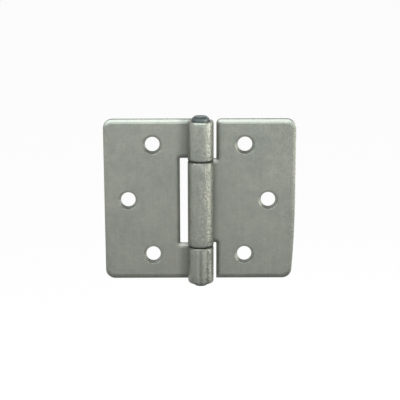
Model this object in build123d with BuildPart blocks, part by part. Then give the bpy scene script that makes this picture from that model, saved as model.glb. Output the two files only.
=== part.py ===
from build123d import *
import os
from math import acos, degrees, isclose

os.makedirs("parts", exist_ok=True)

# A butt hinge of pressed sheet, lying open flat. Each leaf is one sheet, rolled round a shared pin.
# Z runs up the pin, the knuckles stand out to the front, which is -Y, and the origin is on the
# pin's axis at half the height of the leaves. Sizes are in millimetres, angles in degrees.

# Sheet and pin
sheet = 1.95
pin_diameter = 7.9
pin_play = 0.05

# Leaves, each measured from the pin's axis to its outer edge
leaf_height = 76.2
left_reach = 44.65
right_reach = 43.8
corner_radius = 4.4

# Cut edges: tumbling wears this much off the sheet's thickness, in a soft curve two and a half times as wide
front_wear = 0.86
back_wear = 0.3

# The lower part of the right leaf's outer edge bows inwards
bow_height = 36.0
bow_depth = 1.5

# Knuckles: the left leaf has the top and bottom ones, the right leaf has the middle one
top_knuckle = 18.3
bottom_knuckle = 17.2
end_play = 0.25
seam_gap = 0.15

# Room beside the knuckles. The notch is the wider, so that the right leaf can fold back through it
notch_room = 3.6
notch_corner = 0.5
side_room = 1.3
side_corner = 2.2
root_corner = 0.4

# Screw holes: two near the knuckles, placed from the pin, and one at mid-height, placed from the outer edge
hole_diameter = 6.7
countersink_diameter = 9.1
countersink_angle = 70
hole_rise = 26.2
left_near_hole = 22.2
left_edge_to_hole = 11.05
right_near_hole = 20.4
right_edge_to_hole = 12.5

# Shallow grooves where the bottom knuckle was squeezed on to the pin, turned from straight ahead
crimp_count = 3
crimp_start = -5
crimp_step = 33
crimp_depth = 0.12
crimp_radius = 1.6
crimp_land = 1.2

# Pin ends
pin_top = 2.1
pin_bottom = 1.6
tip_diameter = 5.7
tip_length = 0.95
pip_diameter = 1.3
pip_length = 1.0

# What follows from these
bore_radius = pin_diameter / 2 + pin_play
outer_radius = bore_radius + sheet
half_height = leaf_height / 2
left_far_hole = left_reach - left_edge_to_hole
right_far_hole = right_reach - right_edge_to_hole
notch_top = half_height - top_knuckle
notch_bottom = bottom_knuckle - half_height
middle_top = notch_top - end_play
middle_bottom = notch_bottom + end_play
notch_edge = outer_radius + notch_room
side_edge = outer_radius + side_room
roll_angle = 360 - degrees(acos((bore_radius - seam_gap) / outer_radius))
crimp_reach = outer_radius + crimp_radius - crimp_depth
crimp_height = bottom_knuckle - crimp_land
pin_head = half_height + pin_top
pin_foot = -half_height - pin_bottom

# The leaf's two skins: the front one turns into the bore, and the back one into the knuckle's outside
front_skin = Plane.XZ.offset(-bore_radius)
back_skin = Plane.XZ.offset(-outer_radius)
left = -1
right = 1


def rolled_section(side, bottom):
    """The sheet rolled round the pin, from straight behind it on to the seam, at this height."""
    from_behind = Plane((0, 0, bottom), x_dir=(0, 1, 0), z_dir=(0, 0, 1))
    with BuildSketch(from_behind) as section:
        with BuildLine():
            outer = CenterArc((0, 0), outer_radius, 0, side * roll_angle)
            inner = CenterArc((0, 0), bore_radius, 0, side * roll_angle)
            Line(outer @ 0, inner @ 0)
            Line(outer @ 1, inner @ 1)
        make_face()
    return section.sketch


def cut_edges(leaf, radius):
    """The sheet's cut edges on one skin, which is flat at this distance and rolled at this radius."""
    on_skin = leaf.edges().filter_by(lambda edge: isclose(edge.center().Y, radius))
    beside_bend = on_skin.filter_by(lambda edge: abs(edge.center().X) > seam_gap)
    rolled = leaf.edges().filter_by(GeomType.CIRCLE)
    return beside_bend + rolled.filter_by(lambda edge: isclose(edge.radius, radius))


def wear_edges(leaf, radius, wear):
    """Wears one skin's cut edges down in three flats, each half as steep as the one before it."""
    for reach in (wear, wear, wear / 2):
        chamfer(cut_edges(leaf, radius), reach)


with BuildPart() as leaf_two_knuckles:
    with BuildSketch(back_skin) as left_outline:
        Rectangle(left_reach, leaf_height, align=(Align.MAX, Align.CENTER))
        fillet(left_outline.vertices().group_by(Axis.X)[0], corner_radius)
        with Locations((0, notch_bottom)):
            Rectangle(notch_edge, notch_top - notch_bottom, align=(Align.MAX, Align.MIN), mode=Mode.SUBTRACT)
        notch_ends = left_outline.vertices().filter_by_position(Axis.X, -notch_edge, -notch_edge)
        fillet(notch_ends, notch_corner)
    extrude(amount=sheet)
    extrude(rolled_section(left, -half_height), amount=bottom_knuckle)
    extrude(rolled_section(left, notch_top), amount=top_knuckle)
    wear_edges(leaf_two_knuckles, bore_radius, front_wear)
    wear_edges(leaf_two_knuckles, outer_radius, back_wear)
    with Locations(front_skin):
        with Locations((-left_near_hole, hole_rise), (-left_near_hole, -hole_rise), (-left_far_hole, 0)):
            CounterSinkHole(hole_diameter / 2, countersink_diameter / 2, counter_sink_angle=countersink_angle)
    with Locations(Plane((0, 0, -half_height), x_dir=(0, -1, 0), z_dir=(0, 0, 1))):
        with PolarLocations(crimp_reach, crimp_count, crimp_start, crimp_count * crimp_step):
            Cylinder(crimp_radius, crimp_height, align=(Align.CENTER, Align.CENTER, Align.MIN), mode=Mode.SUBTRACT)

with BuildPart() as leaf_one_knuckle:
    with BuildSketch(back_skin) as right_outline:
        with BuildLine():
            top_edge = Line((side_edge, half_height), (right_reach, half_height))
            outer_edge = Line(top_edge @ 1, (right_reach, bow_height - half_height))
            bowed_edge = TangentArc(outer_edge @ 1, (right_reach - bow_depth, -half_height), tangent=outer_edge % 1)
            Polyline(bowed_edge @ 1, (side_edge, -half_height), top_edge @ 0)
        make_face()
        outer_corners = right_outline.vertices().group_by(Axis.Y)
        fillet([outer_corners[0].sort_by(Axis.X)[-1], outer_corners[-1].sort_by(Axis.X)[-1]], corner_radius)
        fillet(right_outline.vertices().group_by(Axis.Y)[-1].sort_by(Axis.X)[0], side_corner)
        with Locations((0, middle_bottom)):
            Rectangle(side_edge, middle_top - middle_bottom, align=Align.MIN)
        roots = right_outline.vertices().filter_by_position(Axis.X, side_edge, side_edge)
        fillet(roots.filter_by_position(Axis.Y, middle_bottom, middle_top), root_corner)
    extrude(amount=sheet)
    extrude(rolled_section(right, middle_bottom), amount=middle_top - middle_bottom)
    wear_edges(leaf_one_knuckle, bore_radius, front_wear)
    wear_edges(leaf_one_knuckle, outer_radius, back_wear)
    with Locations(front_skin):
        with Locations((right_near_hole, hole_rise), (right_near_hole, -hole_rise), (right_far_hole, 0)):
            CounterSinkHole(hole_diameter / 2, countersink_diameter / 2, counter_sink_angle=countersink_angle)

with BuildPart() as hinge_pin:
    with BuildSketch(Plane.XZ):
        with BuildLine():
            Polyline(
                (0, pin_foot - pip_length),
                (pip_diameter / 2, pin_foot),
                (tip_diameter / 2, pin_foot),
                (pin_diameter / 2, pin_foot + tip_length),
                (pin_diameter / 2, pin_head - tip_length),
                (tip_diameter / 2, pin_head),
                (0, pin_head),
                close=True,
            )
        make_face()
    revolve(axis=Axis.Z)

leaf_two_knuckles.part.label = "leaf_two_knuckles"
export_step(leaf_two_knuckles.part, "parts/leaf_two_knuckles.step")

leaf_one_knuckle.part.label = "leaf_one_knuckle"
export_step(leaf_one_knuckle.part, "parts/leaf_one_knuckle.step")

hinge_pin.part.label = "hinge_pin"
export_step(hinge_pin.part, "parts/hinge_pin.step")
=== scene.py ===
# %% [markdown]
# # A tumbled stainless butt hinge
#
# The hinge is three pieces of stainless steel: two leaves, each one sheet rolled into knuckles, and the
# plain pin that they turn on. Their solids come finished from the CAD model, with every bend, hole and
# worn edge at its real size. So no piece of the hinge is modelled here: this lesson is about making plain
# grey metal look like metal. What does that is the finish of its surface, and what it has round it to
# mirror.

# %% Load the solids
import math

import bmesh
import bpy
from mathutils import Matrix, Vector


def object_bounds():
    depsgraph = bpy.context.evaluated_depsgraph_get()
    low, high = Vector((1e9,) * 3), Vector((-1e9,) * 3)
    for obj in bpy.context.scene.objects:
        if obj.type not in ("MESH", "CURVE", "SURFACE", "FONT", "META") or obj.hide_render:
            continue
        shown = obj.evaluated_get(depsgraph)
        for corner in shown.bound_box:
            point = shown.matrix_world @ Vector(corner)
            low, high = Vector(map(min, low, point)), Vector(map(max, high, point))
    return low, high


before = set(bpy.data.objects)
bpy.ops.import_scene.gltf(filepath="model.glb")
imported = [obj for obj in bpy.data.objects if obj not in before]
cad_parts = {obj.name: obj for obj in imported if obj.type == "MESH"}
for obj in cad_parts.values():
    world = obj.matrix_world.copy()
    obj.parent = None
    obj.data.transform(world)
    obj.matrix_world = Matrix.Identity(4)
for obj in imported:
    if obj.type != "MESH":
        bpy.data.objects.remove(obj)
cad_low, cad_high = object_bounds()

MM = 0.001
leaf_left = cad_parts["leaf_two_knuckles"]
leaf_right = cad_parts["leaf_one_knuckle"]
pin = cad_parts["hinge_pin"]
print("hinge, mm:", [round(size / MM, 1) for size in cad_high - cad_low])

# %% [markdown]
# ## Camera
#
# The photograph was taken with a long lens, from the knuckle side and a little above. The camera could be
# placed by eye, but then no size could be compared. So the view was worked out from the hinge's corners,
# holes and knuckle joints in the picture. Perspective shows in the leaves' outer edges, which lean in
# towards the bottom, so the distance matters as much as the angle. The hinge's origin isn't quite in the
# middle of the picture, and the lens shift puts it there.

# %% Camera at the photograph's view
# Degrees round the hinge from straight ahead, degrees above it, and degrees of lean
AZIMUTH = -0.179
ELEVATION = 14.676
ROLL = -0.128
DISTANCE = 554.25 * MM
# The picture's width, the lens's length and the place of the hinge's origin, in pixels
FRAME_PIXELS = 400
FOCAL_PIXELS = 1204
ORIGIN_PIXEL = (200.7, 202.2)
SENSOR_WIDTH = 36.0
NEAREST = 10 * MM
FARTHEST = 20

camera_data = bpy.data.cameras.new("product_camera")
camera = bpy.data.objects.new("product_camera", camera_data)
bpy.context.scene.collection.objects.link(camera)
bpy.context.scene.camera = camera
camera_data.sensor_width = SENSOR_WIDTH
camera_data.lens = FOCAL_PIXELS / FRAME_PIXELS * SENSOR_WIDTH
camera_data.shift_x = 0.5 - ORIGIN_PIXEL[0] / FRAME_PIXELS
camera_data.shift_y = ORIGIN_PIXEL[1] / FRAME_PIXELS - 0.5
camera_data.clip_start = NEAREST
camera_data.clip_end = FARTHEST

around = Matrix.Rotation(math.radians(AZIMUTH), 4, "Z")
tilt = Matrix.Rotation(math.radians(90 - ELEVATION), 4, "X")
roll = Matrix.Rotation(math.radians(ROLL), 4, "Z")
camera.matrix_world = around @ tilt @ Matrix.Translation((0, 0, DISTANCE)) @ roll
print("camera at, mm:", [round(place / MM) for place in camera.matrix_world.translation])

# %% [markdown]
# ## Helpers for materials
#
# Colours are written as the hex values that a paint program shows, and Blender's sockets want linear
# light, so one function translates. Another adds a node together with its settings and its links, which
# keeps a whole material readable as a list of what feeds what.


# %% Colour and node helpers
def linear(code):
    """An sRGB hex colour, such as #8A8D86, as linear red, green, blue and alpha."""
    channels = [int(code[start:start + 2], 16) / 255 for start in (1, 3, 5)]
    return [c / 12.92 if c <= 0.04045 else ((c + 0.055) / 1.055) ** 2.4 for c in channels] + [1.0]


def add(tree, kind, inputs=None, **settings):
    """Adds one node. An input gets a value, an output to link to, or a node, whose first output it takes."""
    made = tree.nodes.new(kind)
    for name, value in settings.items():
        setattr(made, name, value)
    for socket, value in (inputs or {}).items():
        if isinstance(value, bpy.types.Node):
            value = next(output for output in value.outputs if output.enabled)
        if isinstance(value, bpy.types.NodeSocket):
            tree.links.new(value, made.inputs[socket])
        else:
            made.inputs[socket].default_value = value
    return made


def new_material(name):
    """An empty node material, and its tree."""
    material = bpy.data.materials.new(name)
    material.use_nodes = True
    material.node_tree.nodes.clear()
    return material, material.node_tree


print("mid grey, linear:", [round(channel, 3) for channel in linear("#808080")])

# %% [markdown]
# ## Tumbled stainless
#
# The leaves are cold-rolled 304 stainless sheet. It comes from the mill with a faint grain along the
# rolling direction, which runs upright on this hinge. After pressing, the parts are tumbled with
# ceramic stones. That rounds the edges and turns the bright mill surface into an even, dull grey satin,
# with a fine mottle of dents. Where the sheet was rolled into knuckles it stands proud, so the stones
# hit it hardest, and the dents are deeper there.
#
# A metal gets its whole look from reflection. Its base colour is how much it reflects, and its
# roughness is how widely it smears what it reflects. A picture of scratched steel wrapped round the
# hinge would be quick, but it would stretch over the knuckles and show the same scratches on both leaves.
# Noise that is worked out from the place in the metal has neither fault, so all the marks are noise.
#
# Each mark is built as its own short step in the next cells, and the material then puts them together.
# All of them read Object coordinates, which turn with a leaf. Those are in metres, and one Mapping node
# makes millimetres of them, so that every size can be written as on a drawing. The distance from the
# pin's axis tells a rolled knuckle from the flat plate beside it.

# %% Where a point of the metal is
KNUCKLE_RADIUS = 5.95
# The knuckles' marks hold to just outside their surface and are gone a little further out
MARKS_HOLD = KNUCKLE_RADIUS + 0.05
MARKS_END = KNUCKLE_RADIUS + 0.25


def place_in_mm(tree):
    """The shaded point in millimetres, its x, y and z, and its reach from the pin's axis."""
    coordinates = add(tree, "ShaderNodeTexCoord").outputs["Object"]
    point = add(tree, "ShaderNodeMapping", {"Vector": coordinates, "Scale": [1 / MM] * 3})
    apart = add(tree, "ShaderNodeSeparateXYZ", {"Vector": point}).outputs
    level = add(tree, "ShaderNodeCombineXYZ", {"X": apart["X"], "Y": apart["Y"]})
    reach = add(tree, "ShaderNodeVectorMath", {0: level}, operation="LENGTH")
    return {"point": point, "x": apart["X"], "y": apart["Y"], "z": apart["Z"], "reach": reach}


def on_knuckle(tree, place):
    """1 on the rolled knuckles and 0 on the plates, with a soft step between them."""
    return add(
        tree, "ShaderNodeMapRange",
        {"Value": place["reach"], "From Min": MARKS_HOLD, "From Max": MARKS_END,
         "To Min": 1.0, "To Max": 0.0},
    )


print("the knuckles reach", KNUCKLE_RADIUS, "mm from the pin's axis")

# %% [markdown]
# ## Grain, dents and clouds
#
# Mill grain is lines a few hundredths of a millimetre apart. A pixel of the picture is nearly half a
# millimetre, so the grain is drawn coarser than it is, as lines and wider streaks ten times as long, and
# kept very faint. The stones leave dents of about a millimetre. Where parts roll along each other in the
# drum, they leave long shallow knocks, which show on the knuckles. Slower changes, of 5 and 18 mm, are
# where the load of stones rubbed more or less, and they keep a big plain plate from looking printed.

# %% The marks as noise
# Each mark: its width in millimetres, how many times longer it is, and how finely it breaks up
MARKS = {
    "lines": (0.9, 10, 3.0),
    "streaks": (3.6, 10, 2.0),
    "dents": (1.1, 1, 3.0),
    "knocks": (2.4, 6, 2.0),
    "blotches": (5.0, 1, 2.0),
    "clouds": (18.0, 1, 1.0),
}
# The strength of each finer layer of a noise, as a share of the one before it
FINE_SHARE = 0.6
# Nearly all of a noise lies between these two values
NOISE_LOW, NOISE_HIGH = 0.2, 0.8


def tumbling_marks(tree, place):
    """One noise for each mark, with values round a half."""
    marks = {}
    for mark, (width, stretch, detail) in MARKS.items():
        drawn = add(tree, "ShaderNodeMapping", {"Vector": place["point"], "Scale": [1, 1, 1 / stretch]})
        marks[mark] = add(
            tree, "ShaderNodeTexNoise",
            {"Vector": drawn, "Scale": 1 / width, "Detail": detail, "Roughness": FINE_SHARE},
        )
    return marks


def stray_from_one(tree, marks, shares):
    """One factor for each mark that has a share, which strays from 1 by up to that share."""
    return [
        add(
            tree, "ShaderNodeMapRange",
            {"Value": marks[mark], "From Min": NOISE_LOW, "From Max": NOISE_HIGH,
             "To Min": 1 - share, "To Max": 1 + share},
        )
        for mark, share in shares.items()
    ]


for mark, (width, stretch, detail) in MARKS.items():
    print(mark, width, "mm wide,", round(width * stretch, 1), "mm long")

# %% [markdown]
# ## Painted shade beside the knuckles
#
# Where a plate meets its knuckle there is a narrow corner, and the knuckle shades the plate beside it. That
# shade is painted into the colour here, as a darker strip. It could be painted by hand as a mask, but a mask
# needs a flattened copy of the surface. Here the distance from the pin is enough: the painted shade fades
# out over a few millimetres. The left leaf has the wider of the two painted shadows, on the side away from
# the right softbox.

# %% Painted shade beside the knuckles
# Where the painted shade starts to fade, and where it is gone, in millimetres from the pin's axis
SHADE_LEFT = (8.5, 12.3)
SHADE_RIGHT = (6.5, 9.5)
# How bright the plate stays inside the painted shade
SHADE_BRIGHTNESS = 0.74


def painted_knuckle_shade(tree, place, rolled):
    """A factor for brightness, low in the corners beside the knuckles, where it paints the knuckles' shade.
    """
    on_right = add(tree, "ShaderNodeMath", {0: place["x"], 1: 0.0}, operation="GREATER_THAN")
    start, end = [
        add(tree, "ShaderNodeMath", {0: on_right, 1: right - left, 2: left}, operation="MULTIPLY_ADD")
        for left, right in zip(SHADE_LEFT, SHADE_RIGHT)
    ]
    fading = add(
        tree, "ShaderNodeMapRange",
        {"Value": place["reach"], "From Min": start, "From Max": end,
         "To Min": SHADE_BRIGHTNESS, "To Max": 1.0},
        interpolation_type="SMOOTHSTEP",
    )
    return add(tree, "ShaderNodeMath", {0: fading, 1: rolled}, operation="MAXIMUM")


print("dark strips end, mm from the axis:", SHADE_LEFT[1], "on the left,", SHADE_RIGHT[1], "on the right")

# %% [markdown]
# ## Squeeze marks and their painted shade
#
# The bottom knuckle is squeezed on to the pin in a press, so that the pin can't drop out. The press leaves
# three upright grooves, which the CAD model has. Their shade and highlight are also painted into the colour
# here: a cosine of the angle round the pin, with one wave to a groove, dark in the grooves and light on the
# ridges between them. Each painted dark band lies a few degrees to the right of its groove's middle, on the
# wall that faces away from the right softbox.

# %% Painted shade in the grooves and painted highlight on the ridges
# The painted dark bands, in degrees round the pin from straight ahead
CRIMP_START = 0
CRIMP_STEP = 33
CRIMP_COUNT = 3
# The height of their upper ends, and their reach from the pin's axis, in millimetres
CRIMP_TOP = -21.9
CRIMP_REACH = KNUCKLE_RADIUS + 0.1
# How far the painted shade and highlight take the brightness from even
CRIMP_SHADE_CONTRAST = 0.22


def painted_crimp_shade(tree, place):
    """A brightness factor: painted shade in the bottom knuckle's grooves, painted highlight on its ridges.
    """
    ahead = add(tree, "ShaderNodeMath", {0: place["y"], 1: -1.0}, operation="MULTIPLY")
    turned = add(tree, "ShaderNodeMath", {0: place["x"], 1: ahead}, operation="ARCTAN2")
    from_first = add(tree, "ShaderNodeMath", {0: turned, 1: math.radians(CRIMP_START)}, operation="SUBTRACT")
    phase = add(tree, "ShaderNodeMath", {0: from_first, 1: 360 / CRIMP_STEP}, operation="MULTIPLY")
    wave = add(tree, "ShaderNodeMath", {0: phase}, operation="COSINE")
    limits = (
        (turned, math.radians(CRIMP_START - CRIMP_STEP / 2), "GREATER_THAN"),
        (turned, math.radians(CRIMP_START + CRIMP_STEP * (CRIMP_COUNT - 0.5)), "LESS_THAN"),
        (place["z"], CRIMP_TOP, "LESS_THAN"),
        (place["reach"], CRIMP_REACH, "LESS_THAN"),
    )
    for value, limit, test in limits:
        inside = add(tree, "ShaderNodeMath", {0: value, 1: limit}, operation=test)
        wave = add(tree, "ShaderNodeMath", {0: wave, 1: inside}, operation="MULTIPLY")
    return add(tree, "ShaderNodeMath", {0: wave, 1: -CRIMP_SHADE_CONTRAST, 2: 1.0}, operation="MULTIPLY_ADD")


# Where the painted dark bands lie
print("dull bands at, degrees:", [CRIMP_START + CRIMP_STEP * crimp for crimp in range(CRIMP_COUNT)])

# %% [markdown]
# ## Rubbed knuckle ends
#
# Each knuckle is lower over its last few millimetres, where the stones hit the cut edge from two sides.
# The worn edge itself is in the CAD model. The slow fall towards it is a quarter of a millimetre over
# four, so a bump is enough: it only leans the reflection, and the outline hardly changes.
#
# Its shape needs the distance up or down to the nearest knuckle end. That is the smallest of the distances
# to each, and the dull metal beside the joints, which comes next, can use the same function.

# %% The fall towards a rim
# Heights in millimetres: the gaps between the knuckles, and all of the knuckles' ends
JOINTS = (19.675, -20.775)
KNUCKLE_RIMS = (38.1, *JOINTS, -38.1)
RIM_WIDTH = 4.0
ABOVE_ALL = 100.0


def height_from_nearest(tree, place, levels):
    """How far above or below the nearest of these levels the point lies, in millimetres."""
    nearest = ABOVE_ALL
    for level in levels:
        above = add(tree, "ShaderNodeMath", {0: place["z"], 1: level}, operation="SUBTRACT")
        away = add(tree, "ShaderNodeMath", {0: above}, operation="ABSOLUTE")
        nearest = add(tree, "ShaderNodeMath", {0: nearest, 1: away}, operation="MINIMUM")
    return nearest


def rim_fall(tree, place, rolled):
    """How far the surface has fallen: 1 at a knuckle's end, and 0 from the rim's width inwards."""
    to_rim = height_from_nearest(tree, place, KNUCKLE_RIMS)
    near = add(
        tree, "ShaderNodeMapRange",
        {"Value": to_rim, "From Min": 0.0, "From Max": RIM_WIDTH, "To Min": 1.0, "To Max": 0.0},
    )
    curved = add(tree, "ShaderNodeMath", {0: near, 1: near}, operation="MULTIPLY")
    return add(tree, "ShaderNodeMath", {0: curved, 1: rolled}, operation="MULTIPLY")


print("rims at, mm:", KNUCKLE_RIMS)

# %% [markdown]
# ## Joints
#
# Two knuckles meet in a gap of a quarter of a millimetre, and about a millimetre on each side of it is made
# darker. Without this the worn rim under a joint would shine like the leaves' top edges.

# %% Darker metal beside the joints
# Where the darkening starts to fade, and where it is gone, in millimetres from the middle of the gap
JOINT_DARK = (0.3, 1.4)
JOINT_BRIGHTNESS = 0.45


def darker_beside_joints(tree, place, rolled):
    """A factor for brightness, which is low beside the gaps between the knuckles."""
    to_joint = height_from_nearest(tree, place, JOINTS)
    away_from_gap = add(
        tree, "ShaderNodeMapRange",
        {"Value": to_joint, "From Min": JOINT_DARK[0], "From Max": JOINT_DARK[1],
         "To Min": JOINT_BRIGHTNESS, "To Max": 1.0},
    )
    flat = add(tree, "ShaderNodeMath", {0: 1.0, 1: rolled}, operation="SUBTRACT")
    return add(tree, "ShaderNodeMath", {0: away_from_gap, 1: flat}, operation="MAXIMUM")


print("dull beside each joint, mm:", JOINT_DARK[1])

# %% [markdown]
# ## How deep the dents are
#
# The same dents are shallow on a plate and deep on a knuckle. They are deepest on the right of each
# knuckle, which is the side that this hinge was hit on, and that is why its highlight looks broken there.
# The bottom knuckle is the exception: the press that squeezed it also flattened its dents.

# %% Gain of the dents on the knuckles
# Across a knuckle the dents deepen from left to right between these places, in millimetres
HIT_SIDE = (-0.5, 3.5)
# The share of their depth that the press leaves, and the millimetres above its mark where it leaves all
PRESSED_FLAT = 0.62
PRESSED_FADE = 1.0
# The dents are as shallow as on a plate from here outwards, in millimetres from the pin's axis
GAIN_END = KNUCKLE_RADIUS + 0.65


def dent_gain(tree, place, left, right):
    """How many times deeper the dents are than on a plate, at the knuckles' left and right and between."""
    hit = add(
        tree, "ShaderNodeMapRange",
        {"Value": place["x"], "From Min": HIT_SIDE[0], "From Max": HIT_SIDE[1],
         "To Min": left, "To Max": right},
    )
    pressed = add(
        tree, "ShaderNodeMapRange",
        {"Value": place["z"], "From Min": CRIMP_TOP, "From Max": CRIMP_TOP + PRESSED_FADE,
         "To Min": PRESSED_FLAT, "To Max": 1.0},
    )
    rolled_gain = add(tree, "ShaderNodeMath", {0: hit, 1: pressed}, operation="MULTIPLY")
    return add(
        tree, "ShaderNodeMapRange",
        {"Value": place["reach"], "From Min": MARKS_HOLD, "From Max": GAIN_END,
         "To Min": rolled_gain, "To Max": 1.0},
        interpolation_type="SMOOTHSTEP",
    )


print("dents keep", PRESSED_FLAT, "of their depth on the squeezed knuckle")

# %% [markdown]
# ## Uneven colour and roughness
#
# The marks multiply into one brightness, which scales a colour that drifts between a cool and a warm
# grey. A colour ramp on each mark would give more freedom, but factors round 1 keep the average colour
# at the one that is written. Dents and blotches also change the roughness a little, so that a highlight
# breaks up at its edge.

# %% Colour and roughness
# How far each mark strays from even, as a share of the metal's brightness, and of its roughness
BRIGHTNESS_STRAY = {"lines": 0.035, "streaks": 0.03, "blotches": 0.045, "clouds": 0.05}
ROUGHNESS_STRAY = {"dents": 0.16, "blotches": 0.08}


def uneven_colour(tree, marks, factors, gain, speckle, cool, warm):
    """A grey between cool and warm, with its brightness speckled by the dents and scaled by each factor."""
    specks = add(tree, "ShaderNodeMath", {0: gain, 1: speckle}, operation="MULTIPLY")
    uneven = add(tree, "ShaderNodeMath", {0: marks["dents"], 1: 0.5}, operation="SUBTRACT")
    bright = add(tree, "ShaderNodeMath", {0: uneven, 1: specks, 2: 1.0}, operation="MULTIPLY_ADD")
    for factor in factors:
        bright = add(tree, "ShaderNodeMath", {0: bright, 1: factor}, operation="MULTIPLY")
    drift = add(tree, "ShaderNodeMath", {0: marks["clouds"], 1: marks["blotches"]}, operation="MULTIPLY")
    hue = add(tree, "ShaderNodeMix", {"Factor": drift, 6: linear(cool), 7: linear(warm)}, data_type="RGBA")
    return add(tree, "ShaderNodeVectorMath", {0: hue, "Scale": bright}, operation="SCALE")


def uneven_roughness(tree, marks, roughness):
    """The metal's roughness, rougher or smoother from dent to dent."""
    for factor in stray_from_one(tree, marks, ROUGHNESS_STRAY):
        roughness = add(tree, "ShaderNodeMath", {0: factor, 1: roughness}, operation="MULTIPLY")
    return roughness


print("brightness strays by", BRIGHTNESS_STRAY)

# %% [markdown]
# ## Bumps
#
# The bumps follow one another, from fine to broad: the mill lines, the dents, and on the knuckles the
# long knocks and the fall towards the rims. They could be real dents in the mesh, but that would take
# hundreds of thousands of faces for marks of a quarter of a millimetre at the most. A Bevel node under
# them rounds the last sharp edges by a quarter of a millimetre too.

# %% Bumps from fine to broad
# Depths and a radius in millimetres
EDGE_SOFTNESS = 0.25
LINE_DEPTH = 0.012
KNOCK_DEPTH = 0.25
RIM_DEPTH = 0.23
# The dents are shallower in some patches and deeper in others, between these shares of their depth
PATCH_SHARES = (0.5, 1.5)
# The values of the blotches' noise between which that change takes place
PATCH_LOW, PATCH_HIGH = 0.3, 0.7
# How many rays the soft edges are averaged from
BEVEL_SAMPLES = 8


def rolling_bumps(tree, place, marks, rolled):
    """The knuckles' own bumps, as pairs of a height and its depth."""
    fallen = rim_fall(tree, place, rolled)
    left_standing = add(tree, "ShaderNodeMath", {0: 1.0, 1: fallen}, operation="SUBTRACT")
    knocked = add(tree, "ShaderNodeMath", {0: rolled, 1: KNOCK_DEPTH * MM}, operation="MULTIPLY")
    return [(marks["knocks"], knocked), (left_standing, RIM_DEPTH * MM)]


def bumpy_normal(tree, marks, gain, dent_depth, broad_bumps):
    """The surface's direction, after the soft edges, the lines, the dents and then the broad bumps."""
    shallow, deep = [share * dent_depth * MM for share in PATCH_SHARES]
    patchy = add(
        tree, "ShaderNodeMapRange",
        {"Value": marks["blotches"], "From Min": PATCH_LOW, "From Max": PATCH_HIGH,
         "To Min": shallow, "To Max": deep},
    )
    dented = add(tree, "ShaderNodeMath", {0: gain, 1: patchy}, operation="MULTIPLY")
    normal = add(tree, "ShaderNodeBevel", {"Radius": EDGE_SOFTNESS * MM}, samples=BEVEL_SAMPLES)
    for height, depth in [(marks["lines"], LINE_DEPTH * MM), (marks["dents"], dented), *broad_bumps]:
        normal = add(tree, "ShaderNodeBump", {"Height": height, "Distance": depth, "Normal": normal})
    return normal


print("knocks", KNOCK_DEPTH, "mm deep, and a fall of", RIM_DEPTH, "mm towards the rims")

# %% [markdown]
# ## Putting the metal together
#
# The same function makes both metals of the hinge, because both are stainless that was tumbled together. The
# leaves also have the marks of rolling and squeezing, the painted shade beside the knuckles and in the
# squeeze grooves, and the darker metal beside the joints, which the pin hasn't, so those are there only when
# a gain for the knuckles is given. The dents' depth is in millimetres, and speckle is how far they take the
# brightness from even. Metallic is 1, and the index of refraction stays at its default: a metal's brightness
# comes from its base colour alone.


# %% Tumbled stainless
def tumbled_stainless(name, cool, warm, roughness, speckle, dent_depth, knuckle_gain=None):
    """Stainless with mill grain and dents. Two knuckle gains add rolling marks and painted knuckle shade."""
    material, tree = new_material(name)
    place = place_in_mm(tree)
    marks = tumbling_marks(tree, place)
    factors = stray_from_one(tree, marks, BRIGHTNESS_STRAY)
    gain = 1.0
    broad_bumps = []
    if knuckle_gain:
        rolled = on_knuckle(tree, place)
        gain = dent_gain(tree, place, *knuckle_gain)
        factors += [painted_knuckle_shade(tree, place, rolled), painted_crimp_shade(tree, place)]
        factors += [darker_beside_joints(tree, place, rolled)]
        broad_bumps = rolling_bumps(tree, place, marks, rolled)

    metal = add(
        tree, "ShaderNodeBsdfPrincipled",
        {
            "Base Color": uneven_colour(tree, marks, factors, gain, speckle, cool, warm),
            "Roughness": uneven_roughness(tree, marks, roughness),
            "Normal": bumpy_normal(tree, marks, gain, dent_depth, broad_bumps),
            "Metallic": 1.0,
        },
    )
    add(tree, "ShaderNodeOutputMaterial", {"Surface": metal})
    print(name, "has", len(tree.nodes), "nodes")
    return material


# %% [markdown]
# ## The leaves
#
# Tumbled stainless is a little warm and a little green beside the bluish white of its surroundings. Its
# roughness is 0.44, where a polished hinge would have about 0.2: that is what makes the highlights wide
# and the plates nearly plain. On the knuckles the dents are deeper than on the plates: three times on the
# left and over six times on the right.

# %% Tumbled sheet for the leaves
sheet_steel = tumbled_stainless(
    "stainless_304_tumbled_sheet", cool="#82877F", warm="#8C887F",
    roughness=0.44, speckle=0.19, dent_depth=0.044, knuckle_gain=(3.0, 6.5),
)
for leaf in (leaf_left, leaf_right):
    leaf.material_slots[0].material = sheet_steel

# %% [markdown]
# ## The pin
#
# The pin is cut from drawn stainless rod. Its ends are sheared and chamfered, not rolled, so they are
# rougher, and a little darker and bluer than the leaves. Only the two ends show.

# %% Drawn rod for the pin
rod_steel = tumbled_stainless(
    "stainless_rod_sheared", cool="#5F6867", warm="#656A67", roughness=0.5, speckle=0.10, dent_depth=0.06
)
pin.material_slots[0].material = rod_steel

# %% [markdown]
# ## Floor and background
#
# The photograph has a pure white ground with no shadow on it, as when a part stands clear of its
# backdrop. So the floor lies well below the hinge. It is white paper, and most of its white is its own
# for whatever looks at it, the camera or the metal's reflections. The rest is lit, and takes the shadow.
# More light on the paper would whiten it too, but it would also reach the hinge and wash it out.


# %% Stage helpers
def flat_stage(name, width, depth, centre):
    """A level rectangle of the stage, with its place worked into its mesh."""
    shape = bmesh.new()
    bmesh.ops.create_grid(shape, x_segments=1, y_segments=1, size=0.5)
    bmesh.ops.scale(shape, vec=(width, depth, 1), verts=shape.verts)
    bmesh.ops.translate(shape, vec=centre, verts=shape.verts)
    mesh = bpy.data.meshes.new(name)
    shape.to_mesh(mesh)
    shape.free()
    piece = bpy.data.objects.new(name, mesh)
    bpy.context.scene.collection.objects.link(piece)
    return piece


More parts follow.
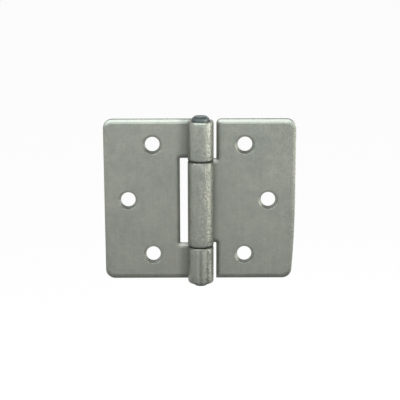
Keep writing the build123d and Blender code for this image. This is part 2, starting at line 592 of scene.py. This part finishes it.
def seen_directly(tree):
    """1 for rays from the camera, a mirror or glass, and 0 for the light that falls on other things."""
    path = add(tree, "ShaderNodeLightPath").outputs
    seen = path["Is Camera Ray"]
    for other in ("Is Glossy Ray", "Is Transmission Ray"):
        seen = add(tree, "ShaderNodeMath", {0: seen, 1: path[other]}, operation="MAXIMUM")
    return seen


# %% White paper floor
FLOOR_SIZE = 8.0
FLOOR_DROP = 150 * MM
OWN_WHITE = 0.95
floor = flat_stage("paper_floor", FLOOR_SIZE, FLOOR_SIZE, (0, 0, cad_low.z - FLOOR_DROP))

paper, tree = new_material("matt_white_paper")
lit = add(tree, "ShaderNodeBsdfDiffuse", {"Color": linear("#F2F2F0")})
white = add(tree, "ShaderNodeEmission", {"Color": linear("#FFFFFF"), "Strength": 1.0})
own_white = add(tree, "ShaderNodeMath", {0: seen_directly(tree), 1: OWN_WHITE}, operation="MULTIPLY")
mixed = add(tree, "ShaderNodeMixShader", {0: own_white, 1: lit, 2: white})
add(tree, "ShaderNodeOutputMaterial", {"Surface": mixed})
floor.data.materials.append(paper)
print("floor at, mm:", round((cad_low.z - FLOOR_DROP) / MM, 1))

# %% [markdown]
# ## Light
#
# A satin metal mirrors its surroundings as soft patches, so the lamps are placed for what each face of
# the hinge would mirror. A wide softbox above the camera gives the near-white line along the leaves'
# rounded top edges. One to the right gives the streak down each knuckle, two weak fills keep the sides
# from going black, and a weak one behind lights the far side of the top edges and the pin.
#
# A lamp's power is worked out from its size and from how bright it should look, so a lamp can be made
# wider without making it brighter.

# %% Softboxes
# Each lamp: its place in metres, its width and height in metres, how bright it looks, and its colour
SOFTBOXES = {
    "front_softbox": ((-0.09, -0.38, 0.33), 1.05, 0.40, 5.2, "#F4FAFF"),
    "right_softbox": ((0.55, -0.155, 0.10), 0.31, 0.34, 7.6, "#FFFCF6"),
    "left_fill": ((-0.60, -0.10, 0.05), 0.5, 0.5, 0.5, "#FFFFFF"),
    "right_fill": ((0.55, 0.28, 0.05), 0.5, 0.5, 1.0, "#FFFFFF"),
    "back_softbox": ((0.05, 0.40, 0.30), 0.8, 0.3, 1.1, "#FFFFFF"),
}


def softbox(name, place, width, height, radiance, colour):
    """A rectangular area lamp aimed at the hinge, set by how bright it looks, whatever its size."""
    data = bpy.data.lights.new(name, "AREA")
    data.shape = "RECTANGLE"
    data.size = width
    data.size_y = height
    data.energy = radiance * math.pi * width * height
    data.color = linear(colour)[:3]
    lamp = bpy.data.objects.new(name, data)
    bpy.context.scene.collection.objects.link(lamp)
    lamp.visible_camera = False
    lamp.location = Vector(place)
    lamp.rotation_euler = (-Vector(place)).to_track_quat("-Z", "Y").to_euler()
    print(name, "gives, W:", round(data.energy, 2))


for name, settings in SOFTBOXES.items():
    softbox(name, *settings)

# %% [markdown]
# ## Grey card
#
# A white floor makes metal look white from below, and the edges that face down lose their shape. Studios
# lay a grey card just out of view for this. Only mirror-like rays may see this one: it stays out of the
# picture, throws no shadow and takes no light from the hinge. It reaches from in front of the hinge to
# just behind it, because further back the walls of the upper screw holes would mirror it.

# %% Grey card below the hinge
# In metres
CARD_WIDTH = 0.6
CARD_DEPTH = 0.14
CARD_CENTRE = (0, -0.035, -0.095)
card = flat_stage("grey_card", CARD_WIDTH, CARD_DEPTH, CARD_CENTRE)
card_grey, tree = new_material("grey_card")
dark = add(tree, "ShaderNodeEmission", {"Color": linear("#B2B2B2"), "Strength": 1.0})
add(tree, "ShaderNodeOutputMaterial", {"Surface": dark})
card.data.materials.append(card_grey)
card.visible_camera = False
card.visible_diffuse = False
card.visible_shadow = False
print("card below the hinge, mm:", round((cad_low.z - CARD_CENTRE[2]) / MM, 1))

# %% [markdown]
# ## The room
#
# Everything that no lamp covers is a white room that gets darker towards its ceiling. The plates stand
# upright and mirror the horizon, so they take the full white, and what leans back takes less of it and
# more of the front softbox. A flat white world would light the hinge too, but with no change from top to
# bottom it would leave the knuckles looking flat.
#
# The view transform is Standard, so that a colour comes out about as it is written.

# %% World
# The room is down to its ceiling's strength at this height of a direction whose whole length is 1
ROOM_TOP = 0.7
CEILING = 0.3
world = bpy.data.worlds.new("studio")
bpy.context.scene.world = world
world.use_nodes = True
tree = world.node_tree
tree.nodes.clear()
direction = add(tree, "ShaderNodeTexCoord").outputs["Generated"]
height = add(tree, "ShaderNodeSeparateXYZ", {"Vector": direction}).outputs["Z"]
room = add(
    tree, "ShaderNodeMapRange",
    {"Value": height, "From Min": 0.0, "From Max": ROOM_TOP, "To Min": 1.0, "To Max": CEILING},
)
background = add(tree, "ShaderNodeBackground", {"Color": linear("#FFFFFF"), "Strength": room})
add(tree, "ShaderNodeOutputWorld", {"Surface": background})
bpy.context.scene.view_settings.view_transform = "Standard"
print("room: 1.0 at the horizon,", CEILING, "overhead")
